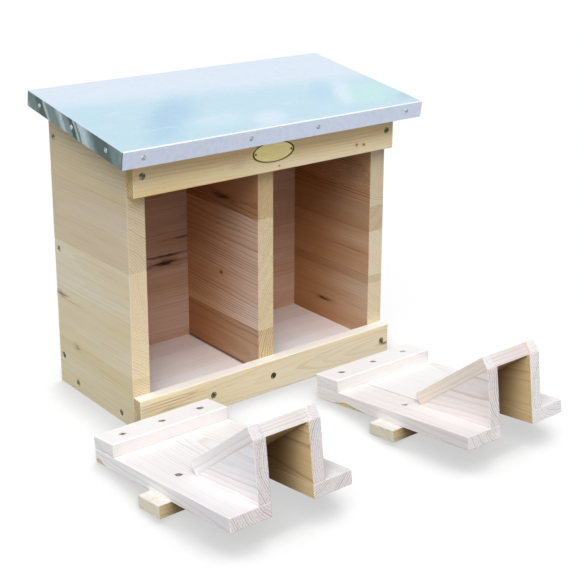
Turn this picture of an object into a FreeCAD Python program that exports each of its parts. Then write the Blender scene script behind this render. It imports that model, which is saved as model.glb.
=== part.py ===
import FreeCAD, Part
import math
import os

# Twin nest box with a pitched roof and two removable front inserts, in millimetres.
# X runs to the right, Y runs from the open front to the back, Z is up.
# The origin is the middle of the underside, on the ground.

# Boards of the box
wall_thick = 20.0
chamber_width = 134.0
box_depth = 150.0
front_height = 282.0
roof_pitch = 8.9
back_thick = 18.0
floor_thick = 20.0

# Rails across the front
rail_thick = 13.0
strip_width = 35.0
top_rail_height = 41.0

# Roof
roof_board_thick = 16.0
sheet_thick = 0.8
sheet_gap = 0.2
sheet_lip = 1.2
corner_slit = 0.6
roof_front_overhang = 32.0
roof_side_overhang = 22.0

# Roof nails
nail_head_radius = 2.6
nail_head_height = 1.2
nail_shank_radius = 0.9
nail_length = 18.0
nail_clearance = 0.1
side_nail_count = 3
side_nail_front_inset = 29.7
side_nail_back_inset = 25.2
front_nail_end_inset = 22.0
front_nail_inner = 42.0

# Oval plate on the top rail
plate_width = 56.0
plate_height = 22.5
plate_thick = 0.8
plate_drop = 7.0

# Holes in the back panel for hanging the box on a wall, one in each chamber
hang_hole_radius = 2.6
hang_hole_drop = 16.0

# Countersunk wood screws
screw_head_radius = 3.6
screw_head_height = 2.4
screw_shank_radius = 1.7
screw_tip_length = 5.0
screw_sink = 0.3
screw_clearance = 0.1
recess_width = 0.9
recess_reach = 4.2
recess_depth = 1.5
wall_screw_length = 45.0
rail_screw_length = 35.0
divider_screw_length = 40.0
roof_screw_length = 40.0
wall_screw_low = 32.0
wall_screw_drop = 32.0
floor_screw_inset = 24.0
floor_screw_back = 38.0
rail_screw_drop = 3.0
rail_left_screw_drop = 4.5
divider_screw_inset = 45.0
roof_screw_inset = 35.0

# Front inserts
insert_thick = 13.0
insert_side_clearance = 2.2
insert_top_clearance = 3.0
notch_width = 44.6
notch_length = 78.0
cheek_thick = 13.0
cheek_run = 92.5
cheek_height = 56.5
ramp_thick = 12.5
ramp_strip_width = 10.5
ramp_seam = 0.2
ramp_setback = 3.0
perch_thick = 12.0
perch_overlap = 10.0
perch_from_foot = 94.5
foot_screw_inset = 21.0
foot_screw_length = 22.0
perch_screw_inset = 21.0
perch_screw_length = 21.0
cheek_screw_length = 26.0
cheek_screw_first = 18.0
cheek_screw_pitch = 30.0
ramp_nail_length = 24.0
ramp_nail_inset = 24.0

# Where the two inserts lie on the ground in front of the box
left_insert_shift = -84.0
right_insert_shift = 14.0
left_insert_clear = 20.0
right_insert_clear = 41.5

# Derived places
box_width = 3 * wall_thick + 2 * chamber_width
inner_width = box_width - 2 * wall_thick
side_face = box_width / 2
chamber_middle = (wall_thick + chamber_width) / 2
y_front = -box_depth / 2
y_back = box_depth / 2
y_panel = y_back - back_thick
y_rail = y_front - rail_thick
top_rail_bottom = front_height - top_rail_height
pitch_slope = math.tan(math.radians(roof_pitch))
pitch_cos = math.cos(math.radians(roof_pitch))
pitch_sin = math.sin(math.radians(roof_pitch))
insert_width = chamber_width - 2 * insert_side_clearance
insert_length = top_rail_bottom - floor_thick - insert_top_clearance
insert_tilt = math.degrees(math.atan2(perch_thick, perch_from_foot))
roof_half_width = side_face + roof_side_overhang
roof_front = -roof_front_overhang
roof_back = (box_depth - sheet_lip * pitch_sin) / pitch_cos
roof_edge = sheet_thick + sheet_gap

x_axis = FreeCAD.Vector(1, 0, 0)
y_axis = FreeCAD.Vector(0, 1, 0)
z_axis = FreeCAD.Vector(0, 0, 1)


def at(x, y, z):
    return FreeCAD.Vector(x, y, z)


def block(x0, x1, y0, y1, z0, z1):
    """A square-edged board between opposite corners."""
    return Part.makeBox(x1 - x0, y1 - y0, z1 - z0, at(x0, y0, z0))


def profile_x(points, x0, x1):
    """A board cut to an outline of (y, z) points, running from x0 to x1."""
    corners = [at(x0, y, z) for y, z in points]
    outline = Part.makePolygon(corners + corners[:1])
    return Part.Face(outline).extrude(at(x1 - x0, 0, 0))


def under_roof(y):
    """Height of the roof board's underside above a place along the depth."""
    return front_height + (y - y_front) * pitch_slope


def turned(shape, point, direction):
    """A shape drawn along +Z, turned to point along a direction and set at a point."""
    moved = shape.copy()
    moved.Placement = FreeCAD.Placement(point, FreeCAD.Rotation(z_axis, direction))
    return moved


def screw_shape(length):
    """A countersunk wood screw drawn along +Z, with the board's face at zero."""
    neck = screw_sink + screw_head_height
    tip_start = length - screw_tip_length
    head = Part.makeCone(screw_head_radius, screw_shank_radius, screw_head_height, at(0, 0, screw_sink))
    shank = Part.makeCylinder(screw_shank_radius, tip_start - neck, at(0, 0, neck))
    tip = Part.makeCone(screw_shank_radius, screw_shank_radius / 5, screw_tip_length, at(0, 0, tip_start))
    body = head.fuse([shank, tip]).removeSplitter()
    half_reach = recess_reach / 2
    half_width = recess_width / 2
    recess_end = screw_sink + recess_depth
    slot_x = block(-half_reach, half_reach, -half_width, half_width, 0, recess_end)
    slot_y = block(-half_width, half_width, -half_reach, half_reach, 0, recess_end)
    return body.cut([slot_x, slot_y])


def screw_hole(length):
    """The hole for a countersunk screw, a clearance larger all round."""
    head_radius = screw_head_radius + screw_clearance
    shank_radius = screw_shank_radius + screw_clearance
    mouth = Part.makeCylinder(head_radius, 1 + screw_sink, at(0, 0, -1))
    seat = Part.makeCone(head_radius, shank_radius, screw_head_height, at(0, 0, screw_sink))
    bore = Part.makeCylinder(shank_radius, length + screw_clearance)
    return mouth.fuse([seat, bore])


def nail_shape(length):
    """A nail with a domed head on a face at zero, its shank along +Z."""
    shank = Part.makeCylinder(nail_shank_radius, length)
    dome_radius = (nail_head_radius ** 2 + nail_head_height ** 2) / (2 * nail_head_height)
    ball = Part.makeSphere(dome_radius, at(0, 0, dome_radius - nail_head_height))
    keep = Part.makeCylinder(nail_head_radius, nail_head_height, at(0, 0, -nail_head_height))
    return ball.common(keep).fuse(shank).removeSplitter()


def nail_hole(length):
    return Part.makeCylinder(nail_shank_radius + nail_clearance, length + nail_clearance)


pieces = {}


def fasten(node, kind, hole, length, places, held):
    """Sets fasteners of one kind as one node, and bores the pieces that they hold."""
    one = kind(length)
    bore = hole(length)
    pieces[node] = Part.makeCompound([turned(one, p, d) for p, d in places])
    bores = [turned(bore, p, d) for p, d in places]
    for name in held:
        pieces[name] = pieces[name].cut(bores)


def make_box():
    wall = [(y_front, 0), (y_back, 0), (y_back, under_roof(y_back)), (y_front, under_roof(y_front))]
    pieces["left_side_wall"] = profile_x(wall, -side_face, -side_face + wall_thick)
    pieces["right_side_wall"] = profile_x(wall, side_face - wall_thick, side_face)
    panel = [(y_panel, 0), (y_back, 0), (y_back, under_roof(y_back)), (y_panel, under_roof(y_panel))]
    hang_z = top_rail_bottom - hang_hole_drop
    hang_holes = []
    for x in (-chamber_middle, chamber_middle):
        hang_holes.append(Part.makeCylinder(hang_hole_radius, back_thick, at(x, y_panel, hang_z), y_axis))
    pieces["back_panel"] = profile_x(panel, -inner_width / 2, inner_width / 2).cut(hang_holes)
    pieces["floor_board"] = block(-inner_width / 2, inner_width / 2, y_front, y_panel, 0, floor_thick)
    middle = [
        (y_front, floor_thick),
        (y_panel, floor_thick),
        (y_panel, under_roof(y_panel)),
        (y_front, under_roof(y_front)),
    ]
    pieces["divider"] = profile_x(middle, -wall_thick / 2, wall_thick / 2)
    pieces["bottom_rail"] = block(-side_face, side_face, y_rail, y_front, 0, strip_width)
    rail = [
        (y_rail, top_rail_bottom),
        (y_front, top_rail_bottom),
        (y_front, under_roof(y_front)),
        (y_rail, under_roof(y_rail)),
    ]
    pieces["top_rail"] = profile_x(rail, -side_face, side_face)


def laid(shape, lay):
    """A shape drawn flat, set down in its place."""
    moved = shape.copy()
    moved.Placement = lay
    return moved


def laid_places(places, lay):
    """Fastener places drawn flat, set down with the pieces that they hold."""
    return [(lay.multVec(p), lay.Rotation.multVec(d)) for p, d in places]


# The roof is drawn flat, with the board's underside at zero and the wall fronts at y = 0
roof_lay = FreeCAD.Placement(at(0, y_front, front_height), FreeCAD.Rotation(x_axis, roof_pitch))


def make_roof():
    reach = roof_half_width - roof_edge
    board = block(-reach, reach, roof_front + roof_edge, roof_back - roof_edge, 0, roof_board_thick)
    pieces["roof_board"] = laid(board, roof_lay)
    top = roof_board_thick + sheet_thick
    hollow = roof_half_width - sheet_thick
    tray = block(-roof_half_width, roof_half_width, roof_front, roof_back, -sheet_lip, top)
    inside_back = roof_back - sheet_thick
    inside = block(-hollow, hollow, roof_front + sheet_thick, inside_back, -sheet_lip, roof_board_thick)
    over_back_panel = block(-hollow, hollow, inside_back, roof_back, -sheet_lip, 0)
    slits = []
    for y0 in (roof_front + sheet_thick, inside_back - corner_slit):
        for x0 in (-roof_half_width, hollow):
            slits.append(block(x0, x0 + sheet_thick, y0, y0 + corner_slit, -sheet_lip, roof_board_thick))
    pieces["roof_sheet"] = laid(tray.cut([inside, over_back_panel] + slits), roof_lay)


def roof_nail_places():
    """Nails at mid-height of the turned-down edges, drawn flat."""
    rise = roof_board_thick / 2
    first = roof_front + side_nail_front_inset
    step = (roof_back - side_nail_back_inset - first) / (side_nail_count - 1)
    outer = roof_half_width - front_nail_end_inset
    across = [-outer, -front_nail_inner, front_nail_inner, outer]
    flat = []
    for k in range(side_nail_count):
        flat.append((at(-roof_half_width, first + k * step, rise), x_axis))
        flat.append((at(roof_half_width, first + k * step, rise), -x_axis))
    for x in across:
        flat.append((at(x, roof_front, rise), y_axis))
    return flat


def fasten_roof():
    nails = laid_places(roof_nail_places(), roof_lay)
    fasten("roof_nails", nail_shape, nail_hole, nail_length, nails, ["roof_board", "roof_sheet"])
    heads = []
    for x in (-side_face + wall_thick / 2, side_face - wall_thick / 2):
        for y in (roof_screw_inset, roof_back - roof_screw_inset):
            heads.append((at(x, y, roof_board_thick), -z_axis))
    held = ["roof_board", "left_side_wall", "right_side_wall"]
    fasten("roof_screws", screw_shape, screw_hole, roof_screw_length, laid_places(heads, roof_lay), held)


def fasten_walls():
    y_column = y_back - back_thick / 2
    high = under_roof(y_column) - wall_screw_drop
    column = (wall_screw_low, (wall_screw_low + high) / 2, high)
    for side, name in ((-1, "left_"), (1, "right_")):
        inward = x_axis * -side
        heads = [(at(side * side_face, y_column, z), inward) for z in column]
        for y in (y_front + floor_screw_inset, y_back - floor_screw_back):
            heads.append((at(side * side_face, y, floor_thick / 2), inward))
        held = [name + "side_wall", "back_panel", "floor_board"]
        fasten(name + "wall_screws", screw_shape, screw_hole, wall_screw_length, heads, held)


def fasten_rails():
    wall_middle = side_face - wall_thick / 2
    top_z = top_rail_bottom + top_rail_height / 2
    top = [(at(x, y_rail, top_z), y_axis) for x in (-wall_middle, wall_middle)]
    held = ["top_rail", "left_side_wall", "right_side_wall"]
    fasten("top_rail_screws", screw_shape, screw_hole, rail_screw_length, top, held)
    across = (-chamber_middle, 0, wall_middle)
    low = [(at(x, y_rail, floor_thick - rail_screw_drop), y_axis) for x in across]
    low.append((at(-wall_middle, y_rail, floor_thick / 2 - rail_left_screw_drop), y_axis))
    held = ["bottom_rail", "left_side_wall", "right_side_wall", "floor_board"]
    fasten("bottom_rail_screws", screw_shape, screw_hole, rail_screw_length, low, held)


def fasten_divider():
    upper = under_roof(y_back) - divider_screw_inset
    heads = [(at(0, y_back, z), -y_axis) for z in (floor_thick + divider_screw_inset, upper)]
    for y in (y_front + divider_screw_inset, y_panel - divider_screw_inset):
        heads.append((at(0, y, 0), z_axis))
    held = ["divider", "back_panel", "floor_board"]
    fasten("divider_screws", screw_shape, screw_hole, divider_screw_length, heads, held)


def make_plate():
    """A plain oval plate, flat on the face of the top rail."""
    centre = at(0, y_rail, under_roof(y_rail) - plate_drop - plate_height / 2)
    oval = Part.Ellipse(at(0, 0, 0), plate_width / 2, plate_height / 2)
    disc = Part.Face(Part.Wire(oval.toShape())).extrude(at(0, 0, plate_thick))
    disc.Placement = FreeCAD.Placement(centre, FreeCAD.Rotation(x_axis, 90))
    pieces["name_plate"] = disc


def make_insert(side, x_middle, foot_y):
    """An insert drawn flat, foot edge at y = 0, outer face at zero, then laid on perch and foot edge."""
    half = insert_width / 2
    lay = FreeCAD.Placement(at(x_middle, foot_y, 0), FreeCAD.Rotation(x_axis, -insert_tilt))

    def add(name, shape):
        pieces[side + name] = laid(shape, lay)

    end = -insert_length
    half_notch = notch_width / 2
    board = block(-half, half, end, 0, 0, insert_thick)
    notch = block(-half_notch, half_notch, end, end + notch_length, 0, insert_thick)
    add("insert_board", board.cut(notch))
    add("foot_batten", block(-half, half, -strip_width, 0, insert_thick, insert_thick + rail_thick))
    perch_half = chamber_width / 2 + perch_overlap
    perch_end = -perch_from_foot - strip_width
    add("perch_bar", block(-perch_half, perch_half, perch_end, -perch_from_foot, -perch_thick, 0))

    top = insert_thick + cheek_height
    tip = end + cheek_run
    cheek = [(end, insert_thick), (tip, insert_thick), (end, top)]
    outer = half_notch + cheek_thick
    add("left_cheek", profile_x(cheek, -outer, -half_notch))
    add("right_cheek", profile_x(cheek, half_notch, outer))

    slope_length = math.hypot(cheek_run, cheek_height)
    along = FreeCAD.Vector(0, -cheek_run / slope_length, cheek_height / slope_length)
    lift = FreeCAD.Vector(0, cheek_height / slope_length, cheek_run / slope_length)

    def on_slope(start, stop):
        corners = [at(0, tip, insert_thick) + along * start, at(0, tip, insert_thick) + along * stop]
        corners += [corners[1] + lift * ramp_thick, corners[0] + lift * ramp_thick]
        return [(c.y, c.z) for c in corners]

    strip_inner = outer - ramp_strip_width
    strips = [
        profile_x(on_slope(0, slope_length), -outer, -strip_inner),
        profile_x(on_slope(0, slope_length), strip_inner, outer),
    ]
    add("ramp_strips", Part.makeCompound(strips))
    ramp_half = strip_inner - ramp_seam
    add("ramp_board", profile_x(on_slope(0, slope_length - ramp_setback), -ramp_half, ramp_half))

    heads = []
    batten_top = insert_thick + rail_thick
    for x in (-half + foot_screw_inset, 0, half - foot_screw_inset):
        heads.append((at(x, -strip_width / 2, batten_top), -z_axis))
    held = [side + "foot_batten", side + "insert_board"]
    fasten(side + "foot_screws", screw_shape, screw_hole, foot_screw_length, laid_places(heads, lay), held)

    heads = []
    for x in (-half + perch_screw_inset, half - perch_screw_inset):
        heads.append((at(x, -perch_from_foot - strip_width / 2, insert_thick), -z_axis))
    held = [side + "insert_board", side + "perch_bar"]
    fasten(side + "perch_screws", screw_shape, screw_hole, perch_screw_length, laid_places(heads, lay), held)

    heads = []
    for x in (-half_notch - cheek_thick / 2, half_notch + cheek_thick / 2):
        for k in range(2):
            heads.append((at(x, end + cheek_screw_first + k * cheek_screw_pitch, 0), z_axis))
    held = [side + "insert_board", side + "left_cheek", side + "right_cheek"]
    fasten(side + "cheek_screws", screw_shape, screw_hole, cheek_screw_length, laid_places(heads, lay), held)

    heads = []
    for x in (-outer + ramp_strip_width / 2, outer - ramp_strip_width / 2):
        for reach in (slope_length / 2, slope_length - ramp_nail_inset):
            heads.append((at(x, tip, insert_thick) + along * reach + lift * ramp_thick, -lift))
    held = [side + "ramp_strips", side + "left_cheek", side + "right_cheek"]
    fasten(side + "ramp_nails", nail_shape, nail_hole, ramp_nail_length, laid_places(heads, lay), held)


make_box()
make_roof()
make_plate()
fasten_roof()
fasten_walls()
fasten_rails()
fasten_divider()
make_insert("left_", -chamber_middle + left_insert_shift, y_rail - left_insert_clear)
make_insert("right_", chamber_middle + right_insert_shift, y_rail - right_insert_clear)

os.makedirs("parts", exist_ok=True)
for node, shape in pieces.items():
    shape.exportStep("parts/" + node + ".step")
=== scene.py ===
import math
import bmesh
import bpy
from mathutils import Matrix, Vector


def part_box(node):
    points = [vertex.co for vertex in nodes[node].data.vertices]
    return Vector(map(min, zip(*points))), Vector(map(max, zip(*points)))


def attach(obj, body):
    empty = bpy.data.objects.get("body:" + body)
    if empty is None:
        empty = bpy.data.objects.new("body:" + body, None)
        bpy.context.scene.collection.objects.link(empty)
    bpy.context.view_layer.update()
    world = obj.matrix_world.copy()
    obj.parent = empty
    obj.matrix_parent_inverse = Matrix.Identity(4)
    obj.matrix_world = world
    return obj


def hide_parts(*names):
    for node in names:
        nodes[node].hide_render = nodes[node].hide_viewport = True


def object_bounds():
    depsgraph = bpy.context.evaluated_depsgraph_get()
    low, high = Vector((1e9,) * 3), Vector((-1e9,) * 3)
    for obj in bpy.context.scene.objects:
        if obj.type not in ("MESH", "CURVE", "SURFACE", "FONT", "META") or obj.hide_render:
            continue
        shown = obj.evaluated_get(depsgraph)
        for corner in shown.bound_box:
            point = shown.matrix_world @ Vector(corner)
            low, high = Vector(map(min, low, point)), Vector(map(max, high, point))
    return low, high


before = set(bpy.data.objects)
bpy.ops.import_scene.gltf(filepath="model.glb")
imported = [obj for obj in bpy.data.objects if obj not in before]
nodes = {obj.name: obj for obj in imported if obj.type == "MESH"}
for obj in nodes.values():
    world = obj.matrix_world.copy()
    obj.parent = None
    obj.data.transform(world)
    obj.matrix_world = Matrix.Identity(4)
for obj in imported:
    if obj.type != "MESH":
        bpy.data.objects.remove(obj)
cad_low, cad_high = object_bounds()

MM = 0.001

# Directions in the box, and in the inserts, which lie tilted on their perches
RIGHT = Vector((1, 0, 0))
BACK = Vector((0, 1, 0))
UP = Vector((0, 0, 1))
PERCH_THICK = 12.0
PERCH_FROM_FOOT = 94.5
INSERT_TILT = math.atan2(PERCH_THICK, PERCH_FROM_FOOT)
INSERT_BACK = Vector((0, math.cos(INSERT_TILT), -math.sin(INSERT_TILT)))
INSERT_UP = Vector((0, math.sin(INSERT_TILT), math.cos(INSERT_TILT)))
CHEEK_HEIGHT = 56.5
CHEEK_RUN = 92.5
RAMP_RISE = math.atan2(CHEEK_HEIGHT, CHEEK_RUN)
RAMP_ALONG = INSERT_UP * math.sin(RAMP_RISE) - INSERT_BACK * math.cos(RAMP_RISE)
RAMP_LIFT = INSERT_UP * math.cos(RAMP_RISE) + INSERT_BACK * math.sin(RAMP_RISE)

# The roof is laid at a pitch on the walls' front top edges
ROOF_PITCH = math.radians(8.9)
ROOF_SEAT = Vector((0, -0.075, 0.282))
ROOF_BACK = Vector((0, math.cos(ROOF_PITCH), math.sin(ROOF_PITCH)))
ROOF_UP = Vector((0, -math.sin(ROOF_PITCH), math.cos(ROOF_PITCH)))


def shade(red, green, blue):
    """A colour given as it looks on a screen, 0 to 255, as linear light."""
    def linear(level):
        level = level / 255
        return level / 12.92 if level <= 0.04045 else ((level + 0.055) / 1.055) ** 2.4
    return (linear(red), linear(green), linear(blue), 1.0)


class Tone:
    """A value on a finish: wraps one socket, and arithmetic on it adds Math nodes."""

    def __init__(self, tree, socket=None):
        self.tree = tree
        self.socket = socket

    def node(self, kind, settings=None, inputs=None, output=0):
        """Adds a node: its settings first, then the values or links of its sockets."""
        made = self.tree.nodes.new("ShaderNode" + kind)
        for name, value in (settings or {}).items():
            if name == "stops":
                ramp = made.color_ramp.elements
                while len(ramp) < len(value):
                    ramp.new(0.5)
                for stop, (position, colour) in zip(ramp, value):
                    stop.position = position
                    stop.color = colour
            else:
                setattr(made, name, value)
        for name, value in (inputs or {}).items():
            if isinstance(value, Tone):
                self.tree.links.new(value.socket, made.inputs[name])
            else:
                made.inputs[name].default_value = value
        return Tone(self.tree, made.outputs[output] if len(made.outputs) else None)

    def math(self, operation, *others):
        return self.node("Math", {"operation": operation}, dict(enumerate((self, *others))))

    def __add__(self, other):
        return self.math("ADD", other)

    __radd__ = __add__

    def __sub__(self, other):
        return self.math("SUBTRACT", other)

    def __rsub__(self, other):
        return self.node("Math", {"operation": "SUBTRACT"}, {0: other, 1: self})

    def __mul__(self, other):
        return self.math("MULTIPLY", other)

    __rmul__ = __mul__

    def __truediv__(self, other):
        return self.math("DIVIDE", other)

    def __rtruediv__(self, other):
        return self.node("Math", {"operation": "DIVIDE"}, {0: other, 1: self})

    def dot(self, direction):
        return self.node("VectorMath", {"operation": "DOT_PRODUCT"}, {0: self, 1: direction}, "Value")

    def reach(self, other):
        """How far off a place is that lies this far one way and that far at right angles to it."""
        return (self * self + other * other).math("SQRT")

    def beside(self, output):
        """Another value of the same node."""
        return Tone(self.tree, self.socket.node.outputs[output])

    def split(self):
        """The three parts of a colour."""
        first = self.node("SeparateColor", None, {0: self}, 0)
        return first, first.beside(1), first.beside(2)

    def between(self, low, high, start=0.0, stop=1.0):
        """Rises smoothly from start to stop while the value goes from low to high."""
        settings = {"interpolation_type": "SMOOTHSTEP"}
        return self.node("MapRange", settings, {0: self, 1: low, 2: high, 3: start, 4: stop})

    def mix(self, plain, other):
        """One colour over another, by this value."""
        return self.node("Mix", {"data_type": "RGBA"}, {0: self, 6: plain, 7: other}, 2)


def new_finish(name):
    """An empty finish, and the start of its values."""
    finish = bpy.data.materials.new(name)
    finish.use_nodes = True
    finish.node_tree.nodes.clear()
    return finish, Tone(finish.node_tree)


def surface(start, colour, roughness, height=None, depth=0.0, **steady):
    """Ends a finish: what varies is linked, and what is the same all over is set on the shader."""
    inputs = {"Base Color": colour, "Roughness": roughness}
    inputs.update({name.replace("_", " "): value for name, value in steady.items()})
    if height is not None:
        inputs["Normal"] = start.node("Bump", None, {"Strength": 1.0, "Distance": depth, "Height": height})
    shader = start.node("BsdfPrincipled", None, inputs)
    start.node("OutputMaterial", None, {"Surface": shader})


def noise(start, place, stretch, shift, detail=2.0, output="Fac"):
    """Noise drawn out along a board: stretch is the size of its spots each way, in units of the place."""
    scale = [1.0 / size for size in stretch]
    away = (shift, shift * 1.7, shift * 0.6)
    moved = start.node("VectorMath", {"operation": "MULTIPLY_ADD"}, {0: place, 1: scale, 2: away})
    inputs = {"Vector": moved, "Scale": 1.0, "Detail": detail, "Roughness": 0.5}
    return start.node("TexNoise", None, inputs, output)


def chance(start, number):
    """A steady random colour for each whole number."""
    return start.node("TexWhiteNoise", {"noise_dimensions": "1D"}, {"W": number}, "Color")


PLAIN = (1, 1, 1, 1)
# Painted shade on the chamber floors, deeper towards the right of each chamber, and its inverse, which
# takes it off again under the divider
FLOOR_PAINTED_SHADE = (0.86, 0.8, 0.77, 1)
FLOOR_PAINTED_SHADE_OFF = tuple(1 / level for level in FLOOR_PAINTED_SHADE)
# Painted shade deep in the insert's notch
NOTCH_PAINTED_SHADE = (0.34, 0.27, 0.19, 1)
SAPWOOD = shade(222, 206, 146)
BARK = shade(96, 76, 50)
# Painted shade along the lines where boards meet inside the chambers
CORNER_PAINTED_SHADE = shade(64, 40, 30)

# Softwoods: pale wood, warmer patches, late-wood lines, end grain, knots, and a year's ring in millimetres
SPRUCE = dict(pale=shade(232, 224, 202), warm=shade(229, 215, 182), line=shade(190, 162, 118), strength=0.4,
              end=shade(240, 224, 190), end_line=shade(178, 140, 92), end_strength=0.6,
              knot=shade(122, 94, 74), ring=2.5)
# Chamber faces: a darker, redder copy of the spruce, partly the wood's own tone and partly painted shade;
# the fade paints more shade, darker and redder towards the back
CHAMBER = dict(pale=shade(211, 189, 168), warm=shade(199, 166, 137), line=shade(118, 80, 56), strength=0.6,
               end=shade(240, 222, 186), end_line=shade(172, 132, 82), end_strength=0.6,
               knot=shade(46, 24, 16), ring=2.5, fades=[(-85, 35, (0.8, 0.55, 0.35, 1))])
DIVIDER = dict(CHAMBER, pale=shade(228, 213, 202), warm=shade(215, 189, 169), line=shade(126, 86, 64),
               strength=0.55)
RIGHT_CHAMBER = dict(CHAMBER, tints=[(0.94, 0.9, 0.84, 1), (0.82, 0.75, 0.68, 1), (0.94, 0.85, 0.76, 1),
                                     (0.82, 0.71, 0.59, 1), (0.93, 0.79, 0.66, 1)])
BACK_PANEL = dict(CHAMBER, pale=shade(210, 178, 158), warm=shade(197, 158, 132), strength=0.5, fades=(),
                  tints=[(1.0, 0.97, 0.97, 1), (1.0, 0.98, 0.98, 1), (0.93, 0.88, 0.83, 1),
                         (1.08, 0.83, 0.6, 1)])
# The chamber floors' top faces; their fades are painted shade
CHAMBER_FLOOR = dict(SPRUCE, pale=shade(254, 253, 255), warm=shade(251, 248, 251),
                     line=shade(212, 190, 182),
                     fades=[(-125, -15, FLOOR_PAINTED_SHADE), (-8, 8, FLOOR_PAINTED_SHADE_OFF), (40, 140, FLOOR_PAINTED_SHADE)])
PINE = dict(pale=shade(250, 240, 219), warm=shade(247, 230, 195), line=shade(208, 172, 120), strength=0.35,
            end=shade(228, 208, 170), end_line=shade(84, 62, 42), end_strength=0.9,
            knot=shade(120, 78, 48), ring=2.6)
TOP_RAIL = dict(PINE, fades=[(-120, 160, (1.05, 1.1, 1.2, 1))])
RAIL_TOP = dict(PINE, pale=shade(246, 242, 238), warm=shade(243, 237, 231), line=shade(222, 202, 176))
PALE_PINE = dict(pale=shade(249, 249, 252), warm=shade(249, 246, 248), line=shade(206, 180, 170),
                 strength=0.5, fibre=0.15,
                 end=shade(247, 241, 241), end_line=shade(152, 122, 116), end_strength=0.75,
                 knot=shade(150, 104, 74), ring=2.4)
# The fade on the insert's top is painted shade, darker towards the board's near end
INSERT_TOP = dict(PALE_PINE, pale=shade(254, 254, 255), warm=shade(254, 253, 255),
                  line=shade(212, 190, 182), fades=[(40, -90, (0.9, 0.89, 0.9, 1))])
RAMP_FRONT = dict(PALE_PINE, pale=shade(238, 234, 234), warm=shade(234, 227, 226),
                  line=shade(184, 154, 142), fades=[(-24, 24, (0.93, 0.9, 0.89, 1))])
# The batten's top, whiter than its wood, and its sides, darker: painted light and shade on one wood
BATTEN_TOP_PAINTED_LIGHT = dict(PALE_PINE, pale=shade(254, 254, 255), warm=shade(254, 253, 255),
                  line=shade(244, 240, 242))
BATTEN = dict(PALE_PINE, pale=shade(236, 233, 232), warm=shade(234, 229, 227), line=shade(220, 204, 196),
              end=shade(254, 254, 255), end_line=shade(206, 192, 194))
# The golden looks are for faces inside the notch: a warmer, darker copy of the pale pine that paints warm
# bounce light and shade; the cheek and notch fades paint more shade deeper under the ramp, and the ramp's
# underside is darker still, painted shade
GOLDEN = dict(PALE_PINE, pale=shade(242, 218, 172), warm=shade(228, 196, 142), line=shade(150, 104, 62))
CHEEK_GOLD = dict(GOLDEN, fades=[(-46, 10, NOTCH_PAINTED_SHADE)])
NOTCH_GOLD = dict(GOLDEN, fades=[(-108, -52, NOTCH_PAINTED_SHADE)])
RAMP_GOLD = dict(GOLDEN, pale=shade(168, 138, 96), warm=shade(146, 114, 72))
PERCH = dict(pale=shade(244, 243, 240), warm=shade(242, 238, 230), line=shade(204, 178, 132), strength=0.4,
             end=shade(246, 240, 224), end_line=shade(184, 164, 124), end_strength=0.6,
             knot=shade(120, 84, 50), ring=2.4)
# The perch's front side: a darker copy of its wood, and a fade darker still under the board, both painted
# shade
PERCH_SIDE = dict(PERCH, pale=shade(213, 193, 155), warm=shade(203, 178, 136), line=shade(130, 100, 64),
                  fades=[(-77, -60, (0.42, 0.39, 0.34, 1))])


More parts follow.
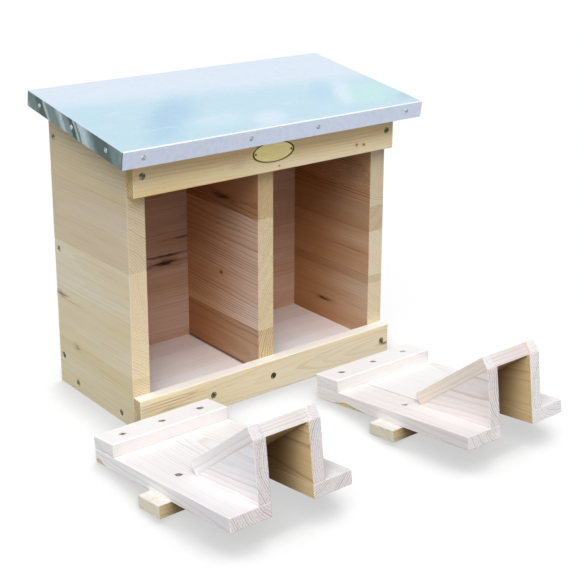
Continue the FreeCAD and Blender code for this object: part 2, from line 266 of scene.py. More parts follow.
def wood(name, axes, look, lamellas, middle=(0, 0, 0), sway=9.0, lean=0.0, marks=(), faces=(), wane=None,
         end_pith=None, end_tints=None, shaded_corners=(), seed=1.0):
    """Softwood grown in rings round a pith: lines along a board's faces, and arcs on its ends.

    Axes run along the grain, across the board and through it. A lamella is (foot, tint, pith across,
    pith through, lines on its faces, lines on its ends): a glued board has several, from the lowest
    up, and a plain board one. The pith may lean through the board, which draws arches on its faces.
    A mark, a knot or a resin streak, is (along, across, half length, half width, darkness). Faces are
    rows of (look, way, least): those that point that way, or at a bend at least so much, have that look,
    and no way means towards the board's middle. A look may have fades, each (first, last, tint): it takes
    on the tint between two places along the board; on the chamber, floor, insert top, notch and perch looks
    the fades are painted shade. It may also tint the lamellas in its own way. A wane is (first, last,
    depth, underside): there a board's left side is sapwood under a line of bark. Ends may show rings round
    an end
    pith of their own. A shaded corner is (axis, place): along it painted shade darkens the face where a
    neighbouring board meets it.
    keeps dust.
    """
    finish, start = new_finish(name)
    spot = start.node("TexCoord", None, None, "Object")
    spot = start.node("VectorMath", {"operation": "MULTIPLY_ADD"},
                      {0: spot, 1: (1 / MM,) * 3, 2: [-value for value in middle]})
    facing = start.node("TexCoord", None, None, "Normal")
    along, across, through = (spot.dot(axis) for axis in axes)
    board = start.node("CombineXYZ", None, {0: along, 1: across, 2: through})
    feet, tints, piths_across, piths_through, face_lines, end_lines = zip(*lamellas)
    over_joints = [across.math("GREATER_THAN", foot) for foot in feet[1:]]

    def by_lamella(values):
        """The number that belongs to the lamella a place is in."""
        level = values[0]
        for over, before, after in zip(over_joints, values, values[1:]):
            level = over * (after - before) + level
        return level

    slow = noise(start, board, (330, 50, 50), seed, 1.0, "Color")
    bend_across, bend_through, drift = slow.split()
    from_across = across + (bend_across - 0.5) * sway - by_lamella(piths_across)
    from_through = through + (bend_through - 0.5) * sway - by_lamella(piths_through)
    if lean:
        from_through = from_through - along * lean
    waver = 1.8
    radius = from_across.reach(from_through) + noise(start, board, (60, 8, 8), seed + 4, 1.0) * waver

    core = halo = None
    fray = 2.6
    bulge = 1.4
    halo_share = 0.4
    ragged = noise(start, board, (14, 1.8, 1.8), seed + 30, 2.0)
    for mark_along, mark_across, half_length, half_width, darkness in marks:
        off = ((along - mark_along) / half_length).reach((across - mark_across) / half_width)
        off = off + (ragged - 0.5) * (fray * min(1.0, half_width))
        one_core = off.between(1.4, 0.2, 0.0, darkness)
        around = off.between(2.8, 0.8)
        radius = radius + around * (bulge * half_width)
        one_halo = around * (halo_share * darkness)
        core = one_core if core is None else core.math("MAXIMUM", one_core)
        halo = one_halo if halo is None else halo.math("MAXIMUM", one_halo)

    def late_wood(from_pith):
        """The dark end of each year's ring, stronger in some years."""
        year = from_pith / look["ring"] + drift * 2
        levels = [(0.0, 0.0), (0.6, 0.18), (0.88, 1.0), (0.94, 0.85), (1.0, 0.0)]
        stops = [(place, (level, level, level, 1)) for place, level in levels]
        late = start.node("ValToRGB", {"stops": stops}, {"Fac": year.math("FRACT")}).split()[0]
        least = 0.3
        return late * (chance(start, year.math("FLOOR") + seed).split()[0] * (1 - least) + least)

    late = late_wood(radius)
    end_late = late
    if end_pith:
        end_late = late_wood((across - end_pith[0]).reach(through - end_pith[1]))
    fibre = noise(start, board, (60, 0.9, 0.9), seed + 9, 3.0)
    cloud = noise(start, board, (260, 34, 34), seed + 15, 2.0).between(0.3, 0.7)
    speckle = noise(start, spot, (1.2, 1.2, 1.2), seed + 21, 3.0)

    def multiplied(plain, tint):
        """A colour darkened or warmed all over by a tint."""
        settings = {"data_type": "RGBA", "blend_type": "MULTIPLY"}
        return start.node("Mix", settings, {0: 1.0, 6: plain, 7: tint}, 2)

    def face_colour(face):
        colour = cloud.mix(face["pale"], face["warm"])
        colour = (late * by_lamella(face_lines) * face["strength"]).mix(colour, face["line"])
        colour = fibre.between(0.5, 0.75, 0.0, face.get("fibre", 0.3)).mix(colour, face["line"])
        for foot in feet[1:]:
            glue_line = (across - foot).math("ABSOLUTE").between(0.7, 0.1, 0.0, 0.3)
            colour = glue_line.mix(colour, face["line"])
        if marks:
            colour = halo.mix(colour, face["line"])
            colour = core.mix(colour, face["knot"])
        # Painted shade along the line where a neighbouring board meets this face
        for axis, place in shaded_corners:
            off = ((along, across, through)[axis] - place).math("ABSOLUTE")
            colour = off.between(3.0, 0.2, 0.0, 0.7).mix(colour, CORNER_PAINTED_SHADE)
        for first, last, tint in face.get("fades", ()):
            colour = along.between(first, last).mix(colour, multiplied(colour, tint))
        return colour

    def tinted(plain, by_board):
        """A colour with the tint of each lamella."""
        tint = by_board[0]
        for over, after in zip(over_joints, by_board[1:]):
            tint = over.mix(tint, after)
        return multiplied(plain, tint)

    colour = tinted(face_colour(look), tints)
    for other, way, least in faces:
        if way is None:
            pointing = facing.dot(axes[1]) * across.math("SIGN") * -1
        else:
            pointing = facing.dot(way)
        other_colour = tinted(face_colour(other), other.get("tints", tints))
        colour = pointing.between(least, least + 0.1).mix(colour, other_colour)
    on_end = facing.dot(axes[0]).math("ABSOLUTE").between(0.7, 0.95)
    end_arcs = end_late * by_lamella(end_lines) * look["end_strength"]
    end_colour = end_arcs.mix(look["end"], look["end_line"])
    end_colour = speckle.between(0.45, 0.75, 0.0, 0.34).mix(end_colour, look["end_line"])
    if wane:
        first, last, depth, under = wane
        deepest = (first + last) / 2
        swell = along.between(first, deepest) * along.between(last, deepest) * depth
        uneven = (noise(start, spot, (12, 12, 12), seed + 40, 2.0) - 0.5) * 3
        skin = swell + uneven - (through - under)
        on_side = facing.dot(axes[1]).between(-0.7, -0.95) * swell.between(0.0, 0.5)
        colour = (skin.between(-0.2, 0.2) * on_side).mix(colour, SAPWOOD)
        colour = (skin.math("ABSOLUTE").between(0.6, 0.2, 0.0, 0.5) * on_side).mix(colour, BARK)

    colour = on_end.mix(colour, tinted(end_colour, end_tints or tints))

    roughness = fibre * 0.25 + on_end * 0.12 + 0.42
    height = late * 0.35 + fibre * 0.5 + on_end * speckle * 0.5
    surface(start, colour, roughness, height, 0.25 * MM, Specular_IOR_Level=0.2)
    return finish


def galvanised(name, front):
    """Folded zinc-coated sheet, lightly dented: a pale painted sky reflection on top, a duller painted
    reflection

    on the front and rear, dark painted reflections and glints on the sides, painted highlights on the
    bends, and painted shade at the slits. A sky reflection is (x, way up the roof, half width, half depth,
    colour, share), in millimetres; they lean over as they go up. A dark reflection or a glint on the sides
    is (way up the roof, half width, share).
    """
    finish, start = new_finish(name)
    spot = start.node("TexCoord", None, None, "Object")
    spot = start.node("VectorMath", {"operation": "SUBTRACT"}, {0: spot, 1: ROOF_SEAT})
    spot = start.node("VectorMath", {"operation": "SCALE"}, {0: spot, 3: 1 / MM})
    facing = start.node("TexCoord", None, None, "Normal")
    facings = [facing.dot(axis).math("ABSOLUTE") for axis in (RIGHT, ROOF_BACK, ROOF_UP)]
    across, up_roof, height = (spot.dot(axis) for axis in (RIGHT, ROOF_BACK, ROOF_UP))
    drift_x, drift_y, _ = noise(start, spot, (80, 60, 60), 3.0, 3.0, "Color").split()
    stray_across = 40
    stray_up = 30
    reflection_lean = 0.65
    reflection_y = up_roof + (drift_y - 0.5) * stray_up
    reflection_x = across + (drift_x - 0.5) * stray_across - reflection_y * reflection_lean
    grain = noise(start, spot, (5, 5, 5), 5.0, 3.0)
    frost = noise(start, spot, (3, 3, 3), 8.0, 4.0)
    crystals = {"Vector": spot, "Scale": 0.16}
    spangle = start.node("TexVoronoi", {"feature": "F1"}, crystals, "Color").split()[0]

    # Painted sky reflection on the top: bluer at the front, paler towards the back, with patches and wisps;
    # the spangle is the zinc's own
    backwards = (reflection_y + across * 0.1).between(50, 100)
    colour = backwards.mix(shade(191, 220, 233), shade(216, 227, 241))
    sky_reflections = [
        (-115, 24, 30, 50, shade(168, 202, 227), 0.85),
        (-57, 4, 26, 16, shade(208, 228, 241), 0.7),
        (2, -12, 24, 18, shade(214, 230, 243), 0.9),
        (75, 36, 16, 28, shade(180, 214, 232), 0.7),
        (108, 25, 14, 30, shade(220, 233, 244), 0.8),
        (141, 14, 34, 26, shade(194, 231, 226), 0.7),
        (181, -8, 10, 10, shade(176, 198, 214), 0.6),
    ]
    for x, y, half_width, half_depth, tone, share in sky_reflections:
        off = ((reflection_x - x) / half_width).reach((reflection_y - y) / half_depth) + (frost - 0.5) * 0.9
        colour = off.between(1.5, 0.3, 0.0, share).mix(colour, tone)
    wisp = noise(start, spot, (30, 12, 12), 9.0, 4.0)
    colour = wisp.between(0.55, 0.75, 0.0, 0.4).mix(colour, shade(220, 232, 240))
    colour = (spangle * 0.08).mix(colour, shade(190, 210, 228))

    # The front and rear flanges' duller blue is a painted reflection
    dull = grain.between(0.35, 0.7).mix(shade(213, 223, 242), shade(207, 216, 235))
    colour = facings[1].between(0.8, 0.95).mix(colour, dull)

    # The sides are painted reflections: a darker copy of the sheet, with dark bands and light glints
    # slanting across them
    mid_height = 8
    slant = 0.8
    wave = up_roof - (height - mid_height) * slant + (drift_x - 0.5) * 10 + (wisp - 0.5) * 5
    dark_reflections = [(138, 16, 0.75), (121, 9, 0.95), (99, 13, 0.7), (71, 7, 0.6), (60, 6, 0.97), (50, 2.5, 0.7),
             (4, 22, 0.9), (-26, 10, 0.6)]
    glints = [(112, 2.2, 0.7), (54, 1.8, 0.6)]
    side = grain.between(0.35, 0.7).mix(shade(182, 201, 212), shade(162, 183, 190))
    for tone, bands in ((shade(34, 66, 54), dark_reflections), (shade(182, 202, 204), glints)):
        for place, half_width, share in bands:
            off = (wave - place).math("ABSOLUTE") / half_width
            side = off.between(1.6, 0.4, 0.0, share).mix(side, tone)
    # Painted shade at the front end of each side, where the slit is
    slit_painted_shade = (up_roof - front).between(2.2, 1.2)
    side = slit_painted_shade.mix(side, shade(52, 58, 60))
    colour = facings[0].between(0.8, 0.95).mix(colour, side)
    # Painted highlight along the bends
    bend_highlight_mask = facings[0].math("MAXIMUM", facings[1]).math("MAXIMUM", facings[2]).between(0.985, 0.94)
    bend_highlight = facings[0].between(0.1, 0.3).mix(shade(250, 252, 255), shade(206, 216, 238))
    colour = bend_highlight_mask.mix(colour, bend_highlight)
    roughness = drift_x * 0.2 + spangle * 0.08 + 0.28
    dented = noise(start, spot, (40, 40, 40), 5.0, 1.0)
    surface(start, colour, roughness, dented, 0.6 * MM, Metallic=0.55)
    return finish


def metal(name, plain, dull, roughness):
    """Small bright or tarnished metal parts, with handling marks."""
    finish, start = new_finish(name)
    spot = start.node("TexCoord", None, None, "Object")
    spot = start.node("VectorMath", {"operation": "SCALE"}, {0: spot, 3: 1 / MM})
    wear = noise(start, spot, (2.5, 2.5, 2.5), 2.0, 3.0)
    colour = wear.between(0.4, 0.65).mix(plain, dull)
    surface(start, colour, wear * 0.25 + roughness, wear, 0.1 * MM, Metallic=0.85)
    return finish


def piece(name, shape, finish, body, slot, *stands_for):
    """Puts a finished mesh in the scene, riding on a body."""
    mesh = bpy.data.meshes.new(name)
    shape.to_mesh(mesh)
    shape.free()
    mesh.materials.append(finish)
    made = bpy.data.objects.new(name, mesh)
    bpy.context.scene.collection.objects.link(made)
    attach(made, body)
    if stands_for:
        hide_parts(*stands_for)
    return made


def planed(node, body, slot, finish, arris):
    """A board in its CAD form, with its sharp arrises eased to a small round."""
    shape = bmesh.new()
    shape.from_mesh(nodes[node].data)
    bmesh.ops.remove_doubles(shape, verts=shape.verts, dist=1e-6)
    flat = math.radians(0.5)
    bmesh.ops.dissolve_limit(shape, angle_limit=flat, verts=shape.verts, edges=shape.edges)
    sharp = math.radians(25)
    shortest = 8 * MM
    long_edges = [edge for edge in shape.edges if edge.is_manifold
                  and edge.calc_face_angle() > sharp and edge.calc_length() > shortest]
    bmesh.ops.bevel(shape, geom=long_edges, offset=arris * MM, segments=3, profile=0.5,
                    affect="EDGES", clamp_overlap=True)
    piece(node + "_planed", shape, finish, body, slot, node)


def centre_of(node):
    """The middle of a CAD node, in millimetres."""
    low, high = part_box(node)
    return [value / MM for value in (low + high) / 2]


def box_boards():
    """The boards of the box, each in wood of its own; the places are those of the box, in millimetres."""
    walls = (BACK, UP, RIGHT)
    flat = (RIGHT, UP, BACK)
    laid = (RIGHT, BACK, UP)
    roof = (RIGHT, ROOF_BACK, ROOF_UP)
    # The two top lamellas are darker partly in their own tone and partly by painted shade under the roof's
    # overhang
    left_wall = [
        (0, (0.95, 0.95, 0.9, 1), 95, -118, 0.8, 1.3),
        (53, (1.0, 1.0, 0.98, 1), -20, -220, 0.8, 0.6),
        (111, (1.0, 1.0, 1.0, 1), 150, -96, 0.5, 0.7),
        (163, (0.92, 0.89, 0.92, 1), 105, -225, 0.7, 1.0),
        (231, (0.93, 0.89, 0.82, 1), 310, -100, 1.0, 1.0),
    ]
    right_wall = [
        (0, (0.96, 0.95, 0.9, 1), 150, 210, 0.4, 0.7),
        (84, (0.9, 0.88, 0.84, 1), 150, 210, 0.4, 0.6),
        (93, (1.0, 1.0, 0.97, 1), 230, 230, 0.3, 0.6),
        (145, (0.92, 0.88, 0.82, 1), 231, 98, 0.5, 1.4),
        (174, (0.97, 0.94, 0.9, 1), 290, 190, 1.5, 0.6),
    ]
    right_ends = [(0.98, 0.98, 1.0, 1), (0.84, 0.82, 0.83, 1), (1.0, 1.02, 1.08, 1), (0.82, 0.78, 0.75, 1),
                  (0.93, 0.92, 0.96, 1)]
    # The top lamella's dark, red tint is partly the wood's own and partly painted shade under the top rail
    # and roof
    divider = [
        (0, (0.67, 0.54, 0.41, 1), 28, 66, 0.8, 1.6),
        (66, (0.99, 0.94, 0.91, 1), 226, -140, 1.2, 1.0),
        (188, (0.7, 0.5, 0.34, 1), 226, -140, 1.2, 1.0),
    ]
    # The top end's darker tint is partly painted shade as well
    divider_ends = [(0.86, 0.82, 0.76, 1), (0.97, 0.95, 0.94, 1), (0.82, 0.74, 0.64, 1)]
    back_panel = [
        (0, (1.0, 0.98, 0.95, 1), -60, 30, 0.4, 1.0),
        (62, (0.98, 0.97, 0.95, 1), 160, 120, 0.4, 1.0),
        (124, (0.96, 0.94, 0.9, 1), 60, 0, 0.5, 1.0),
        (190, (1.0, 0.97, 0.92, 1), 270, 120, 0.5, 1.0),
    ]
    # The floor's strips are tinted darker towards the back: painted shade deeper in the chambers
    floor = [
        (-75, PLAIN, -160, 60, 0.6, 1.0),
        (-28, (0.98, 0.95, 0.94, 1), 90, 60, 0.6, 1.0),
        (22, (0.92, 0.86, 0.84, 1), -70, -30, 0.6, 1.0),
    ]
    roof_board = [
        (-32, PLAIN, 0, 90, 1.0, 1.0),
        (28, (0.96, 0.94, 0.9, 1), 70, -70, 1.0, 1.0),
        (90, PLAIN, 90, 100, 1.0, 1.0),
    ]
    top_rail = [
        (241, (1.08, 1.0, 0.8, 1), 296, -40, 1.0, 1.0),
        (258, (1.06, 0.95, 0.73, 1), 296, -40, 1.0, 1.0),
    ]
    bottom_rail = [(0, (1.05, 1.06, 1.06, 1), 14, -122, 1.0, 1.0)]
    wall_marks = [(66, 102, 11, 2.4, 0.7), (40, 99, 20, 0.6, 0.4), (36, 51, 5, 2.8, 0.5)]
    right_marks = [(0, 44, 12, 1.8, 0.8), (-36, 222, 20, 12, 0.12), (-46, 118, 28, 0.4, 0.6)]
    divider_marks = [(-10, 200, 12, 2.2, 0.9), (-8, 113, 2, 1.8, 0.9)]
    panel_marks = [(-36, 120, 30, 1.6, 0.9), (-40, 112, 15, 3.6, 0.95), (-19, 138, 14, 1.0, 0.7)]
    top_marks = [(111.5, 251.5, 1.8, 1.5, 0.9), (121.5, 250.7, 1.5, 1.3, 0.9), (7.5, 245.5, 1, 0.9, 0.6),
                 (-44, 254, 8, 5, 0.08)]
    low_marks = [(-134, 28.5, 38, 0.5, 0.45), (-130, 25.5, 38, 0.5, 0.55), (-132, 22, 34, 0.45, 0.45),
                 (-128, 18, 30, 0.45, 0.4), (-104, 27, 12, 0.8, 0.3), (158, 13, 6, 1.4, 0.8)]
    # Node, slot, look, axes, lamellas, seed, arris, and what else its wood has
    rows = [
        ("left_side_wall", "spruce", SPRUCE, walls, left_wall, 1.0, 0.7,
         dict(marks=wall_marks, faces=[(CHAMBER, RIGHT, 0.6)])),
        ("right_side_wall", "spruce", SPRUCE, walls, right_wall, 2.3, 0.7,
         dict(marks=right_marks, faces=[(RIGHT_CHAMBER, -RIGHT, 0.6)], end_tints=right_ends)),
        ("divider", "spruce", DIVIDER, walls, divider, 3.1, 0.7,
         dict(marks=divider_marks, sway=20.0, end_tints=divider_ends, shaded_corners=[(1, 20)])),
        ("back_panel", "spruce", SPRUCE, flat, back_panel, 4.6, 0.5,
         dict(marks=panel_marks, faces=[(BACK_PANEL, -BACK, 0.6)])),
        ("floor_board", "spruce", SPRUCE, laid, floor, 5.2, 0.5,
         dict(faces=[(CHAMBER_FLOOR, UP, 0.6)], shaded_corners=[(0, -10), (0, 10)])),
        ("roof_board", "spruce", SPRUCE, roof, roof_board, 6.4, 0.5, {}),
        ("top_rail", "pine", TOP_RAIL, flat, top_rail, 7.7, 1.0,
         dict(marks=top_marks, end_pith=(262, -66))),
        ("bottom_rail", "pine", PINE, flat, bottom_rail, 8.1, 1.0,
         dict(marks=low_marks, sway=20.0, lean=0.045, faces=[(RAIL_TOP, UP, 0.85)], end_pith=(17, -66))),
    ]
    for node, slot, look, axes, lamellas, seed, arris, more in rows:
        finish = wood(node + "_wood", axes, look, lamellas, seed=seed, **more)
        planed(node, "box", slot, finish, arris)


def insert_boards():
    """The boards of both inserts; the places are from the middle of each board, in millimetres."""
    lengthways = (INSERT_BACK, RIGHT, INSERT_UP)
    crossways = (RIGHT, INSERT_BACK, INSERT_UP)
    upright = (INSERT_BACK, INSERT_UP, RIGHT)
    sloping = (RAMP_ALONG, RAMP_LIFT, RIGHT)
    over_ramp = (RIGHT, RAMP_ALONG, RAMP_LIFT)
    # Node, slot, look, axes, pith and lines, arris, and what else its wood has
    rows = [
        ("insert_board", "pale_pine", INSERT_TOP, lengthways, (14, 40, 1.0, 1.0), 0.6,
         dict(faces=[(NOTCH_GOLD, None, 0.1)], lean=0.05)),
        ("foot_batten", "pale_pine", BATTEN, crossways, (-8, 44, 1.0, 1.0), 1.1,
         dict(faces=[(BATTEN_TOP_PAINTED_LIGHT, INSERT_UP, 0.6)])),
        ("perch_bar", "perch_pine", PERCH, crossways, (26, -40, 1.0, 1.0), 0.8,
         dict(faces=[(PERCH_SIDE, -INSERT_BACK, 0.6)])),
        ("left_cheek", "pale_pine", PALE_PINE, upright, (8, 48, 1.0, 1.0), 0.5,
         dict(faces=[(CHEEK_GOLD, RIGHT, 0.1)])),
        ("right_cheek", "pale_pine", PALE_PINE, upright, (-9, 52, 1.0, 1.0), 0.5,
         dict(faces=[(CHEEK_GOLD, -RIGHT, 0.1)])),
        ("ramp_strips", "pale_pine", PALE_PINE, sloping, (30, 40, 1.0, 0.3), 0.7, {}),
        ("ramp_board", "pale_pine", PALE_PINE, over_ramp, (10, 44, 1.0, 1.0), 0.7,
         dict(faces=[(RAMP_FRONT, RAMP_ALONG, 0.6), (RAMP_GOLD, -RAMP_LIFT, 0.3)])),
    ]
    half_thick = 6.5
    joint = -28
    own = {
        "left_insert_board": dict(wane=(116, 90, 4, -half_thick)),
        "right_insert_board": dict(
            wane=(90, 30, 3.5, -half_thick), marks=[(31, joint, 42, 0.4, 0.7)],
            lamellas=[(0, (0.985, 0.96, 0.945, 1), 14, 40, 1.0, 0.8), (joint, PLAIN, 60, 30, 0.6, 0.6)],
            end_tints=[(1.02, 1.04, 1.03, 1), (1.06, 1.1, 1.12, 1)]),
        "left_ramp_strips": dict(end_tints=[(0.92, 0.92, 0.95, 1)]),
        "right_ramp_strips": dict(
            lamellas=[(0, (0.97, 0.89, 0.78, 1), 30, 40, 1.0, 0.3)], end_tints=[(0.95, 0.97, 0.98, 1)]),
        "right_ramp_board": dict(lamellas=[(0, (0.985, 0.965, 0.955, 1), 10, 44, 1.0, 1.0)]),
        "right_left_cheek": dict(lamellas=[(0, (0.96, 0.93, 0.9, 1), 8, 48, 1.2, 1.0)], end_tints=[PLAIN]),
        "right_right_cheek": dict(end_tints=[(1.1, 1.16, 1.16, 1)]),
    }
    seed_step = 1.3
    for side, first_seed in (("left_", 20.0), ("right_", 31.0)):
        for count, (name, slot, look, axes, pith, arris, more) in enumerate(rows):
            node = side + name
            seed = first_seed + count * seed_step
            grown = dict(lamellas=[(0, PLAIN, *pith)], middle=centre_of(node), seed=seed, **more)
            grown.update(own.get(node, {}))
            finish = wood(node + "_wood", axes, look, **grown)
            planed(node, side + "insert", slot, finish, arris)


def flush_nails(node, strips, body, finish):
    """Nails driven home: their domed heads hardly stand out of the ramp's strips."""
    flattened = 0.85
    face = max(corner.co.dot(RAMP_LIFT) for corner in nodes[strips].data.vertices)
    shape = bmesh.new()
    shape.from_mesh(nodes[node].data)
    for corner in shape.verts:
        proud = max(0.0, corner.co.dot(RAMP_LIFT) - face)
        corner.co -= RAMP_LIFT * proud * flattened
    piece(node + "_flush", shape, finish, body, "nail_steel", node)


def fasteners():
    """Finishes of all screws and nails; only the ramp nails change their form."""
    bright = metal("bright_screw_zinc", shade(226, 228, 224), shade(168, 170, 164), 0.25)
    finishes = {
        "_wall_screws": metal("screw_zinc", shade(176, 172, 138), shade(84, 80, 58), 0.3),
        "_nails": metal("nail_steel", shade(186, 194, 202), shade(112, 122, 128), 0.22),
        "foot_screws": bright,
        "perch_screws": bright,
        "_screws": metal("dull_screw_zinc", shade(150, 146, 116), shade(64, 60, 44), 0.3),
    }
    for name, made in nodes.items():
        if name.endswith(("_screws", "_nails")):
            ending = next(end for end in finishes if name.endswith(end))
            made.data.materials.clear()
            made.data.materials.append(finishes[ending])
    for side in ("left_", "right_"):
        flush_nails(side + "ramp_nails", side + "ramp_strips", side + "insert", finishes["_nails"])


def folded_sheet():
    """The roof's sheet, folded down on four sides with rounded bends and a slit at each front corner."""
    sheet_thick = 0.8 * MM
    bend_radius = 1.6 * MM
    slit = 1.4 * MM
    local = [v.co - ROOF_SEAT for v in nodes["roof_sheet"].data.vertices]
    reach = max(v.x for v in local)
    front = min(v.dot(ROOF_BACK) for v in local)
    rear = max(v.dot(ROOF_BACK) for v in local)
    top = max(v.dot(ROOF_UP) for v in local)
    foot = min(v.dot(ROOF_UP) for v in local)
    shape = bmesh.new()

    def corner(x, y, z):
        return shape.verts.new(ROOF_SEAT + RIGHT * x + ROOF_BACK * y + ROOF_UP * z)

    upper = [corner(x, y, top) for x, y in ((-reach, front), (reach, front), (reach, rear), (-reach, rear))]
    shape.faces.new(upper)
    front_edge = [corner(-reach, front, foot), corner(reach, front, foot)]
    right_edge = [corner(reach, front + slit, foot), corner(reach, rear, 0.0)]
    left_edge = [corner(-reach, rear, 0.0), corner(-reach, front + slit, foot)]
    rear_edge = [right_edge[1], left_edge[0]]
    for k, edge in enumerate((front_edge, right_edge, rear_edge, left_edge)):
        shape.faces.new((upper[k], edge[0], edge[1], upper[(k + 1) % 4]))
    folds = [edge for edge in shape.edges if all(vert in upper for vert in edge.verts)]
    bmesh.ops.bevel(shape, geom=folds, offset=bend_radius, segments=4, profile=0.5,
                    affect="EDGES", clamp_overlap=True)
    bmesh.ops.recalc_face_normals(shape, faces=shape.faces)
    for face in shape.faces:
        face.smooth = False
    finish = galvanised("galvanised_sheet", front / MM)
    made = piece("roof_sheet_folded", shape, finish, "box", "galvanised", "roof_sheet")
    thick = made.modifiers.new("sheet_thickness", "SOLIDIFY")
    thick.thickness = sheet_thick
    thick.offset = -1


def oval_ring(shape, centre, half_width, half_height, steps):
    """A ring of corners that faces the front."""
    turns = [2 * math.pi * k / steps for k in range(steps)]
    offsets = [Vector((half_width * math.cos(turn), 0, half_height * math.sin(turn))) for turn in turns]
    return [shape.verts.new(centre + offset) for offset in offsets]


def join_rings(shape, rings):
    """Joins each ring of corners to the next, and closes the first and the last."""
    steps = len(rings[0])
    shape.faces.new(rings[0])
    for inner, outer in zip(rings, rings[1:]):
        for k in range(steps):
            n = (k + 1) % steps
            shape.faces.new((inner[k], outer[k], outer[n], inner[n]))
    shape.faces.new(rings[-1][::-1])


def oval_plate():
    """A bare pressed oval plate with a raised rim and an inlaid dark line, held by two pins."""
    low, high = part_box("name_plate")
    middle = (low + high) / 2
    half_width = (high.x - low.x) / 2
    half_height = (high.z - low.z) / 2
    foot = Vector((middle.x, high.y, middle.z))
    proud = Vector((0, -MM, 0))

    finish, start = new_finish("plate_brass")
    spot = start.node("TexCoord", None, None, "Object")
    off = start.node("VectorMath", {"operation": "SUBTRACT"}, {0: spot, 1: middle})
    reach = off.dot((1 / half_width, 0, 0)).reach(off.dot((0, 0, 1 / half_height)))
    line_place = 0.912
    line = (reach - line_place).math("ABSOLUTE").between(0.052, 0.034)
    brushed = noise(start, spot, (0.02, 0.0004, 0.0004), 2.0, 3.0)
    colour = brushed.between(0.3, 0.7).mix(shade(226, 212, 150), shade(214, 196, 132))
    colour = line.mix(colour, shade(44, 36, 12))
    surface(start, colour, brushed * 0.2 + 0.25, brushed, 0.05 * MM, Metallic=0.5)

    # Share of the half width or height, and millimetres in front of the rail
    profile = [(0.30, 0.50), (0.86, 0.50), (0.88, 0.40), (0.945, 0.40), (0.955, 0.60), (0.975, 0.66),
               (0.99, 0.55), (1.0, 0.25), (1.0, 0.0)]
    plate_steps = 72
    shape = bmesh.new()
    rings = []
    for share, rise in profile:
        place = foot + proud * rise
        rings.append(oval_ring(shape, place, half_width * share, half_height * share, plate_steps))
    join_rings(shape, rings)
    bmesh.ops.recalc_face_normals(shape, faces=shape.faces)
    piece("name_plate_pressed", shape, finish, "box", "plate_brass", "name_plate")

    pin_radius = 1.3 * MM
    pin_height = 0.7
    pin_share = 0.8
    pin_foot = 0.5
    pin_steps = 16
    lifts = [math.radians(angle) for angle in (0, 18, 36, 54, 72)]
    shape = bmesh.new()
    for side in (-1, 1):
        centre = foot + RIGHT * (side * pin_share * half_width)
        rings = []
        for lift in lifts:
            radius = pin_radius * math.cos(lift)
            place = centre + proud * (pin_foot + pin_height * math.sin(lift))
            rings.append(oval_ring(shape, place, radius, radius, pin_steps))
        join_rings(shape, rings)
    bmesh.ops.recalc_face_normals(shape, faces=shape.faces)
    dark = metal("plate_pin_brass", shade(120, 104, 62), shade(70, 58, 34), 0.3)
    piece("plate_pins", shape, dark, "box", "plate_brass")


def seen_directly(start):
    """One where the camera, a shine or a glass shows a thing, and nothing where it only throws light."""
    by_camera = start.node("LightPath", None, None, "Is Camera Ray")
    rays = by_camera + by_camera.beside("Is Glossy Ray") + by_camera.beside("Is Transmission Ray")
    return rays.math("MINIMUM", 1.0)


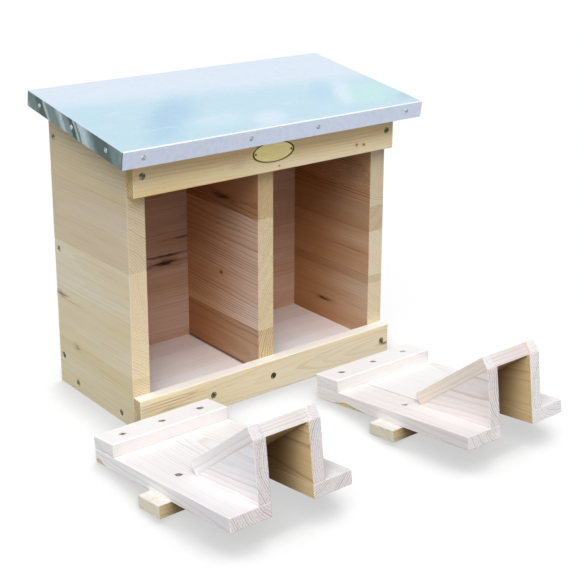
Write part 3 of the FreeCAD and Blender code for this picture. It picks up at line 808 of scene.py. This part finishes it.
def studio():
    """White floor that keeps the shadow, soft light from above, and a white surround."""
    finish, start = new_finish("studio_floor")
    seen = seen_directly(start)
    thrown_grey = (0.22, 0.22, 0.22, 1)
    shown_grey = (0.12, 0.12, 0.12, 1)
    contact = 0.075
    diffuse = start.node("BsdfDiffuse", None, {"Color": seen.mix(thrown_grey, shown_grey)})
    open_sky = start.node("AmbientOcclusion", {"samples": 16}, {"Distance": contact}, "AO")
    white = seen * open_sky.between(0.5, 0.86, 0.58, 0.9)
    glow = start.node("Emission", None, {"Color": white.mix((0, 0, 0, 1), PLAIN), "Strength": 1.0})
    both = start.node("AddShader", None, {0: diffuse, 1: glow})
    start.node("OutputMaterial", None, {"Surface": both})
    shape = bmesh.new()
    half_floor = 12.0
    bmesh.ops.create_grid(shape, x_segments=1, y_segments=1, size=half_floor)
    mesh = bpy.data.meshes.new("studio_floor")
    shape.to_mesh(mesh)
    shape.free()
    mesh.materials.append(finish)
    floor = bpy.data.objects.new("studio_floor", mesh)
    floor.location = (0, 0, cad_low.z - 0.05 * MM)
    bpy.context.scene.collection.objects.link(floor)

    world = bpy.data.worlds.new("studio")
    world.use_nodes = True
    world.node_tree.nodes.clear()
    bpy.context.scene.world = world
    start = Tone(world.node_tree)
    seen = seen_directly(start)
    ambient = 0.25
    sky = start.node("Background", None, {"Color": PLAIN, "Strength": seen * (1 - ambient) + ambient})
    start.node("OutputWorld", None, {"Surface": sky})

    lamps = [("key", (0.378, 0.450, -0.809), 2.75), ("side", (0.760, 0.494, -0.423), 0.5)]
    spread = math.radians(50)
    for name, aim, strength in lamps:
        lamp = bpy.data.lights.new(name, "SUN")
        lamp.energy = strength
        lamp.angle = spread
        made = bpy.data.objects.new(name, lamp)
        made.rotation_mode = "QUATERNION"
        made.rotation_quaternion = Vector(aim).to_track_quat("-Z", "Y")
        bpy.context.scene.collection.objects.link(made)


def camera():
    """The camera at the photograph's place."""
    frame_px = 584
    focal_px = 1222.4
    shift_px = -102.0
    pitch, yaw, roll = (math.radians(angle) for angle in (15.883, 38.531, 0.190))
    stand = Vector((-0.7275, -1.0318, 0.5606))
    data = bpy.data.cameras.new("camera")
    data.sensor_width = 36.0
    data.lens = focal_px / frame_px * data.sensor_width
    data.shift_y = shift_px / frame_px
    ahead = Vector((math.sin(yaw) * math.cos(pitch), math.cos(yaw) * math.cos(pitch), -math.sin(pitch)))
    level = Vector((math.cos(yaw), -math.sin(yaw), 0))
    over = level.cross(ahead)
    right = level * math.cos(roll) + over * math.sin(roll)
    above = over * math.cos(roll) - level * math.sin(roll)
    place = Matrix((right, above, -ahead)).transposed().to_4x4()
    place.translation = stand
    made = bpy.data.objects.new("camera", data)
    made.matrix_world = place
    bpy.context.scene.collection.objects.link(made)
    bpy.context.scene.camera = made


box_boards()
insert_boards()
fasteners()
folded_sheet()
oval_plate()
studio()
camera()

bpy.context.scene.view_settings.view_transform = "Standard"
